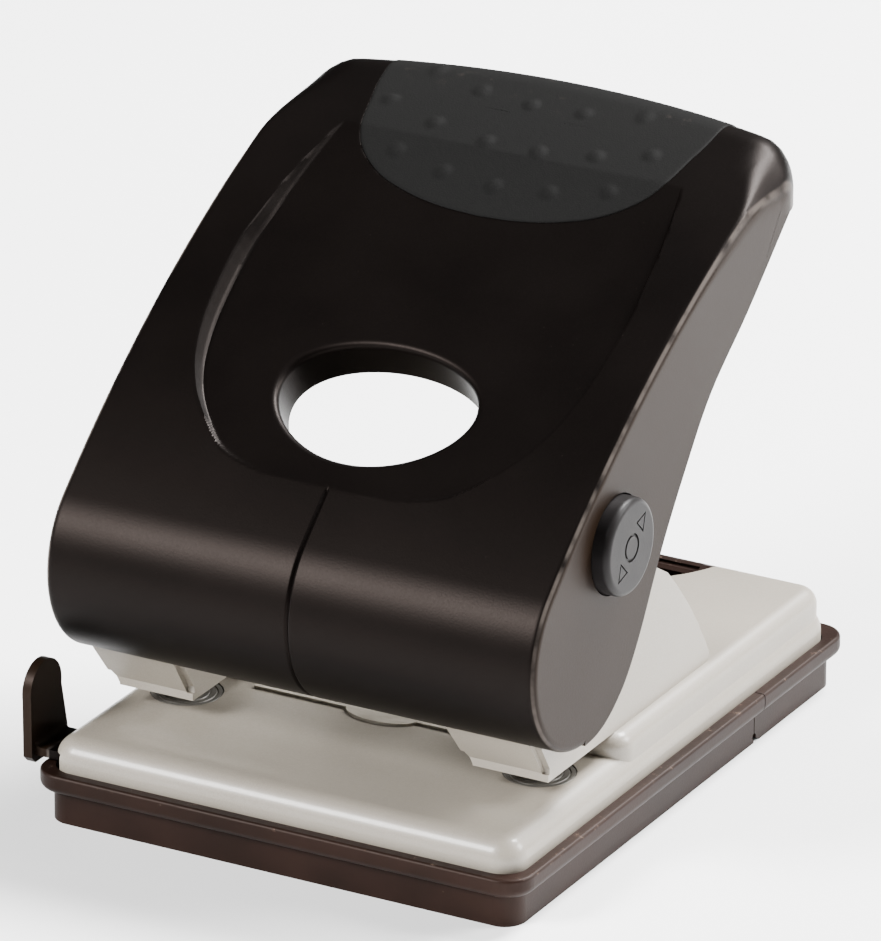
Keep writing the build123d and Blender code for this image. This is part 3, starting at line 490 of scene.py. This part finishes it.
def handle_cover_mesh():
    """Closed hollow shell. Outer skin: rays cast from a spine inside the side outline meet the
    rounded form; a fan of rays carries the skin over each side edge; flat side walls, a plain
    inner skin 2.5 mm in, the lip, the rims and the hem close it."""
    shell = Shell()
    nose = np.linspace(LIP, 0, 46)
    slope = np.linspace(0, TAIL, 230)[1:]
    turn = np.linspace(TAIL, TURN_END, 34)[1:]
    drop = np.linspace(TURN_END, HEM_END, 5)[1:]
    s = np.concatenate([nose, slope, turn, drop])
    fine = np.concatenate([np.arange(0, 1.2, 0.15), np.arange(1.5, 26.1, 0.5)])
    inset = spine(s)[2]
    # Beyond 26 mm one column of points follows the panel's outline, the others close up to it.
    along = (on_profile(np.clip(s, 0, TAIL))[0] - PANEL_A) @ PANEL_DIR
    rim_x = np.maximum(np.interp(along, PANEL_CURVE[:, 1], PANEL_CURVE[:, 0]), 32.0)[:, None]
    inner = 1 - (1 - np.linspace(0, 1, 36)[1:]) ** 1.5
    outer = np.linspace(0, 1, 14)[1:] ** 1.5
    half_x = np.concatenate([np.broadcast_to(fine, (len(s), len(fine))), 26.0 + (rim_x - 26.0) * inner,
                             rim_x + (HALF - inset[:, None] - rim_x) * outer], 1)
    x = np.concatenate([-half_x[:, :0:-1], half_x], 1)
    top, _ = skin(x, s[:, None])
    # Cells under the finger hole are left out and filled by rings that run into the hole.
    slopes = panel_place(top[:, 0])
    in_slope = (s > 10) & (s < 60)
    r0 = int(np.where(in_slope & (slopes > 3.6))[0][0])
    r1 = int(np.where(in_slope & (slopes < 39.5))[0][-1])
    c0 = int(np.argmin(np.abs(x[0] + 24.5)))
    c1 = int(np.argmin(np.abs(x[0] - 24.5)))
    skip = np.zeros((len(s) - 1, x.shape[1] - 1), bool)
    skip[r0:r1, c0:c1] = True
    shell.grid(top, skip)
    loop = [(r0, c) for c in range(c0, c1)] + [(r, c1) for r in range(r0, r1)]
    loop += [(r1, c) for c in range(c1, c0, -1)] + [(r, c0) for r in range(r1, r0, -1)]
    edge = np.array([top[r, c] for r, c in loop])
    edge_t = panel_place(edge)
    angle = np.arctan2((edge_t - HOLE_T) / HOLE_Y, edge[:, 0] / HOLE_X)
    rings = [edge]
    hole_x, hole_t = oval(angle, HOLE_ROUND)
    for k in np.linspace(0, 1, 7)[1:]:
        rings.append(on_panel(edge[:, 0] * (1 - k) + hole_x * k, edge_t * (1 - k) + hole_t * k))
    for a in np.linspace(0, math.pi / 2, 6)[1:]:
        bx, bt = oval(angle, HOLE_ROUND * (1 - math.sin(a)))
        rings.append(on_panel(bx, bt, np.full_like(bx, HOLE_ROUND * (1 - math.cos(a)))))
    for grow, depth in ((0.0, COLLAR - 0.4), (0.4, COLLAR), (1.6, COLLAR), (2.0, COLLAR - 0.4),
                        (2.0, WALL + 0.1)):
        bx, bt = oval(angle, grow)
        rings.append(on_panel(bx, bt, np.full_like(bx, depth)))
    rings = np.array(rings)
    shell.grid(np.concatenate([rings, rings[:, :1]], 1))
    collar_foot = rings[-1]
    # Fans over the side edges, from the skin's direction round to straight sideways.
    fan_s = np.concatenate([np.linspace(START, LIP, BEND_ROW + 1)[:-1], s])
    yz, normal, inset, grow = spine(fan_s)
    bend = np.radians(np.concatenate(
        [np.linspace(0, 36, 5), np.linspace(39, 51, 9), np.linspace(54, 90, 5)]))
    fan_x = HALF - inset
    shift = (BOW - np.sqrt(BOW ** 2 - fan_x ** 2)) * grow
    origin = np.stack([fan_x, yz[:, 0] - shift, yz[:, 1]], -1)[:, None]
    outward = np.concatenate([np.zeros((len(fan_s), 1)), normal], 1)[:, None]
    ways = outward * np.cos(bend)[:, None] + np.array([1.0, 0, 0]) * np.sin(bend)[:, None]
    fan = cast(np.broadcast_to(origin, ways.shape), ways)
    fan[BEND_ROW:, 0] = top[:, -1]
    left_fan = fan * MIRROR
    left_fan[BEND_ROW:, 0] = top[:, 0]
    shell.grid(fan)
    shell.grid(left_fan, flip=True)
    # Side walls: flat polygons inside the fans, above the curved lower line.
    lower = curve([(-8.7, 29.66), (-4.2, 30.15), (0.0, 31.55), (4.2, 34.1), (8.6, 38.0), (14.2, 45.6),
                   (22.5, 59.4), (32.3, 72.8), (43.0, 85.4), (58.3, 97.1), (75.8, HEM)], 6)
    lower[0] = fan[0, 0, 1:]
    wall_low = np.column_stack([np.full(len(lower), HALF), lower])
    wall_top = fan[:, -1]
    cut_top = int(np.argmin(np.abs(fan_s - 18.0)))
    cut_low = int(np.argmin(np.hypot(lower[:, 0] - 24.0, lower[:, 1] - 60.0)))
    turn_angle = np.linspace(0, 2 * math.pi, CUP_SIDES + 1)[:-1]
    up_angle = math.atan2(wall_top[cut_top, 2] - KNOB[1], wall_top[cut_top, 1] - KNOB[0])

    def circle(radius, x):
        """Points round the knob's centre at x, starting from the upper cut."""
        around_knob = turn_angle + up_angle
        return np.column_stack([np.full(CUP_SIDES, x), KNOB[0] + radius * np.cos(around_knob),
                                KNOB[1] + radius * np.sin(around_knob)])

    def split_wall(upper, under, radius, height, flip, iu, il):
        """Two polygons that leave a round hole between them."""
        ring = circle(radius, height)
        towards = math.atan2(under[il, 2] - KNOB[1], under[il, 1] - KNOB[0]) - up_angle
        meet = int(round(towards % (2 * math.pi) / (2 * math.pi) * CUP_SIDES)) % CUP_SIDES
        front = np.vstack([upper[:iu + 1], ring[:meet + 1], under[il::-1]])
        rear = np.vstack([upper[iu:], under[:il - 1:-1], ring[meet:], ring[:1]])
        shell.polygon(front, flip)
        shell.polygon(rear, flip)

    split_wall(wall_top, wall_low, CUP, HALF, True, cut_top, cut_low)
    shell.polygon(np.vstack([wall_top, wall_low[::-1]]) * MIRROR)
    # Inner skin: side outline 2.5 mm in, and the flat under the panel.
    lip_angle = math.radians(242.5)
    arc = 24
    hollow = NOSE[2] - WALL
    inner = [(NOSE[0] + hollow * math.cos(a), NOSE[1] + hollow * math.sin(a))
             for a in np.linspace(lip_angle, JOINT, arc)]
    foot_a = PANEL_A + PANEL_DIR * 1.0 - PANEL_UP * (WALL + 0.1)
    foot_b = PANEL_A + PANEL_DIR * 86.0 - PANEL_UP * (WALL + 0.1)
    inner += [tuple(foot_a), tuple(foot_b), (70.0, 118.0), (75.0, 114.0), (76.0, HEM)]
    inner = np.array(inner)
    roof = np.stack([np.column_stack([np.full(2, v), inner[arc:arc + 2]]) for v in (-WIDE, WIDE)], 1)
    around = np.arctan2(panel_place(collar_foot) - HOLE_T, collar_foot[:, 0])
    order = np.argsort(around)
    lowest = int(np.argmin(np.abs(around[order] + math.pi / 2)))
    ring = np.roll(collar_foot[order], -lowest, 0)
    highest = int(np.argmax(panel_place(ring)))
    low_mid, high_mid = (roof[0, 0] + roof[0, 1]) / 2, (roof[1, 0] + roof[1, 1]) / 2
    shell.polygon(np.vstack([low_mid, ring[:highest + 1], high_mid, roof[1, 1], roof[0, 1]]))
    shell.polygon(np.vstack([high_mid, ring[highest:], ring[:1], low_mid, roof[0, 0], roof[1, 0]]))
    for band in (inner[:arc + 1], inner[arc + 1:]):
        columns = [np.column_stack([np.full(len(band), v), band]) for v in (-WIDE, 0.0, WIDE)]
        shell.grid(np.stack(columns, 1), flip=True)
    # Lip, between the outer skin's first row and the inner skin's first row.
    lip_in = np.array([[v, *inner[0]] for v in (-WIDE, 0.0, WIDE)])
    shell.polygon(np.vstack([top[0], lip_in[::-1]]), flip=True)
    # Inner side walls, with the rims to the outer walls.
    under = np.column_stack([np.full(len(lower), WIDE), lower])
    inner_top = np.vstack([fan[:BEND_ROW + 1, 0], np.column_stack([np.full(len(inner), WIDE), inner])])
    split_wall(inner_top, under, CUP + 1.75, WIDE, False, BEND_ROW + 1 + arc, cut_low)
    shell.polygon(np.vstack([inner_top, under[::-1]]) * MIRROR, flip=True)
    rim = np.stack([wall_low, under], 1)
    shell.grid(rim)
    shell.grid(rim * MIRROR, flip=True)
    corner = np.vstack([fan[0], wall_low[:1]])
    shell.polygon(corner, flip=True)
    shell.polygon(corner * MIRROR)
    # Hem, a flat band between the rear edge and the inner skin.
    rear_edge = np.vstack([fan[-1][::-1], top[-1][::-1][1:-1], left_fan[-1]])
    rear_in = np.array([[-WIDE, *lower[-1]], [-WIDE, 76.0, HEM], [0, 76.0, HEM], [WIDE, 76.0, HEM],
                        [WIDE, *lower[-1]]])
    shell.polygon(np.vstack([wall_low[-1:], rear_edge, wall_low[-1:] * MIRROR, rear_in]), flip=True)
    # Cup for the lock button: wall, floor with the pin's hole, and its outside.
    levels = np.array([circle(CUP, HALF), circle(CUP, CUP_FLOOR), circle(PIN_HOLE, CUP_FLOOR),
                       circle(PIN_HOLE, CUP_BACK), circle(CUP + 1.75, CUP_BACK), circle(CUP + 1.75, WIDE)])
    shell.grid(np.concatenate([levels, levels[:, :1]], 1))
    return shell.close()


BUMPS = [(x, 91.3 + 0.0085 * x * x) for x in (-24, -12, 0, 12, 24)]
BUMPS += [(x, 101.6 + 0.0088 * x * x) for x in (-32.0, -19.6, -6.8, 5.1, 17.2, 28)]
BUMPS += [(x, 115.2 + 0.0085 * x * x) for x in (-27, -15, -3, 8.7, 21.2)]


def grip_pad_mesh():
    """Closed rubber inlay: rings of points from its middle out to its outline, raised a little
    above the skin and dotted with low round bumps; its underside is the same shape lowered."""
    shell = Shell()
    last = TURN_END - PAD_GAP
    rim = GRIP_CURVE[GRIP_CURVE[:, 1] < last]
    tail_x = float(np.interp(last, GRIP_CURVE[:, 1], GRIP_CURVE[:, 0]))
    rim = np.vstack([rim, [tail_x, last]])
    across = np.linspace(tail_x, 0, 60)[1:]
    half = np.vstack([rim, np.column_stack([across, np.full(59, last)])])
    closed = np.vstack([half, (half * [-1, 1])[-2::-1]])
    travelled = np.concatenate([[0], np.cumsum(np.hypot(*np.diff(closed, axis=0).T))])
    even = np.linspace(0, travelled[-1], 321)[:-1]
    outline = np.column_stack([np.interp(even, travelled, closed[:, i]) for i in (0, 1)])
    middle = np.array([0.0, 107.0])
    shrink = np.concatenate([np.linspace(0, 0.975, 62), [0.985, 0.992, 0.997, 1.0]])
    place = middle + (outline - middle) * shrink[:, None, None]
    surface, direction = skin(place[..., 0], place[..., 1], plain=True)
    lift = np.full(place.shape[:2], 0.2)
    lift[-4:] = np.array([0.19, 0.16, 0.09, -0.05])[:, None]
    for x, s in BUMPS:
        away = np.hypot(place[..., 0] - x, place[..., 1] - s)
        lift = lift + 0.3 * smooth(away, 2.4, 0.4)
    upper = surface + direction * lift[..., None]
    inward = inside_by(place[..., 0], place[..., 1], GRIP_CURVE) * (place[..., 1] < last - 1)
    under = surface - direction * (0.06 + 0.8 * smooth(inward, 0.1, 0.9))[..., None]
    wrap = [np.concatenate([a, a[:, :1]], 1) for a in (upper, under)]
    shell.grid(wrap[0], flip=True)
    shell.grid(wrap[1])
    shell.grid(np.stack([wrap[0][-1], wrap[1][-1]]), flip=True)
    return shell.close()


def mesh_object(name, points, faces, node=None, material=None, slot=None, body=None):
    """Makes a closed mesh from points in millimetres, smooth shaded, welded at its seams."""
    mesh = bpy.data.meshes.new(name)
    mesh.from_pydata((np.asarray(points) * MM).tolist(), [], [list(f) for f in faces])
    mesh.update()
    made = bpy.data.objects.new(name, mesh)
    bpy.context.scene.collection.objects.link(made)
    mesh.shade_smooth()
    mesh.set_sharp_from_angle(angle=math.radians(34))
    if material:
        mesh.materials.append(material)
    if node:
        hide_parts(node)
    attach(made, body)
    return made


# ---------------------------------------------------------------- materials on the frame's nodes
paints = {
    "cover_plastic": cover_paint(),
    "grip_rubber": rubber_paint(),
    "button_plastic": button_paint(),
    "tray_plastic": tray_paint(),
    "enamel": enamel_paint(),
    "guide_plastic": cover_paint(),
    "die_steel": steel_paint("die_steel", (0.135, 0.126, 0.110), (1.0, 1.0, 1.0), 0.45, 0.2),
    "strip_plastic": strip_paint(),
    "bright_steel": steel_paint("bright_steel", (0.62, 0.61, 0.60), (0.1, 1.0, 1.0), 0.22),
    "spring_steel": steel_paint("spring_steel", (0.42, 0.42, 0.43), (1.0, 1.0, 0.3), 0.28),
    "fastener_steel": steel_paint("fastener_steel", (0.56, 0.56, 0.55), (1.0, 1.0, 1.0), 0.30),
}
for part in frame["record"]["subparts"]:
    node = nodes[part["node"]]
    node.data.materials.clear()
    node.data.materials.append(paints[part["material_slot"]])


# ---------------------------------------------------------------- new surfaces
mesh_object("cover_skin", *handle_cover_mesh(), node="handle_cover", material=paints["cover_plastic"],
            slot="cover_plastic", body="handle")
mesh_object("grip_skin", *grip_pad_mesh(), node="grip_pad", material=paints["grip_rubber"],
            slot="grip_rubber", body="handle")


# ---------------------------------------------------------------- light, floor, camera
def soft_light(name, place, aim, width, height, power, colour=(1.0, 1.0, 1.0)):
    """Area light at a place in metres, turned to face its aim."""
    data = bpy.data.lights.new(name, "AREA")
    data.shape, data.size, data.size_y = "RECTANGLE", width, height
    data.energy, data.color = power, colour
    lamp = bpy.data.objects.new(name, data)
    lamp.location = place
    lamp.rotation_euler = (Vector(aim) - Vector(place)).to_track_quat("-Z", "Y").to_euler()
    bpy.context.scene.collection.objects.link(lamp)
    return lamp


world = bpy.data.worlds.new("studio")
world.use_nodes = True
world.node_tree.nodes["Background"].inputs["Color"].default_value = (1.0, 1.0, 1.0, 1.0)
world.node_tree.nodes["Background"].inputs["Strength"].default_value = 0.07
bpy.context.scene.world = world

soft_light("key", (0.35, 0.95, 1.3), (0.0, 0.10, 0.0), 0.6, 0.5, 125.0)
soft_light("rear_right", (1.3, 0.95, 0.9), (0.1, 0.15, 0.0), 0.7, 0.6, 62.0)
soft_light("front_left", (-0.75, -1.1, 0.95), (0.0, 0.0, 0.0), 0.5, 0.5, 75.0)

floor_paint = Paint("floor", Specular_IOR_Level=0.1)
floor_tone = floor_paint.noise(6.0, 2.0)
floor_paint.colour(floor_paint.blend(floor_tone, rgb(0.90, 0.90, 0.90), rgb(0.92, 0.92, 0.92)))
floor_paint.rough(0.85)
floor_mesh = bpy.data.meshes.new("floor")
floor_mesh.from_pydata([(-6, -6, 0), (6, -6, 0), (6, 6, 0), (-6, 6, 0)], [], [(0, 1, 2, 3)])
floor = bpy.data.objects.new("floor", floor_mesh)
floor_mesh.materials.append(floor_paint.material)
bpy.context.scene.collection.objects.link(floor)

TURN, TILT, DISTANCE, LENS = math.radians(29.02), math.radians(22.83), 1.9952, 382.6
aim = Vector((-4.404, 40.0, 57.714)) * MM
back = Vector((math.sin(TURN) * math.cos(TILT), -math.cos(TURN) * math.cos(TILT), math.sin(TILT)))
camera_data = bpy.data.cameras.new("camera")
camera_data.lens, camera_data.sensor_width = LENS, 36.0
camera_data.clip_start, camera_data.clip_end = 0.05, 30.0
camera = bpy.data.objects.new("camera", camera_data)
camera.location = aim + back * DISTANCE
camera.rotation_euler = (-back).to_track_quat("-Z", "Y").to_euler()
bpy.context.scene.collection.objects.link(camera)
bpy.context.scene.camera = camera
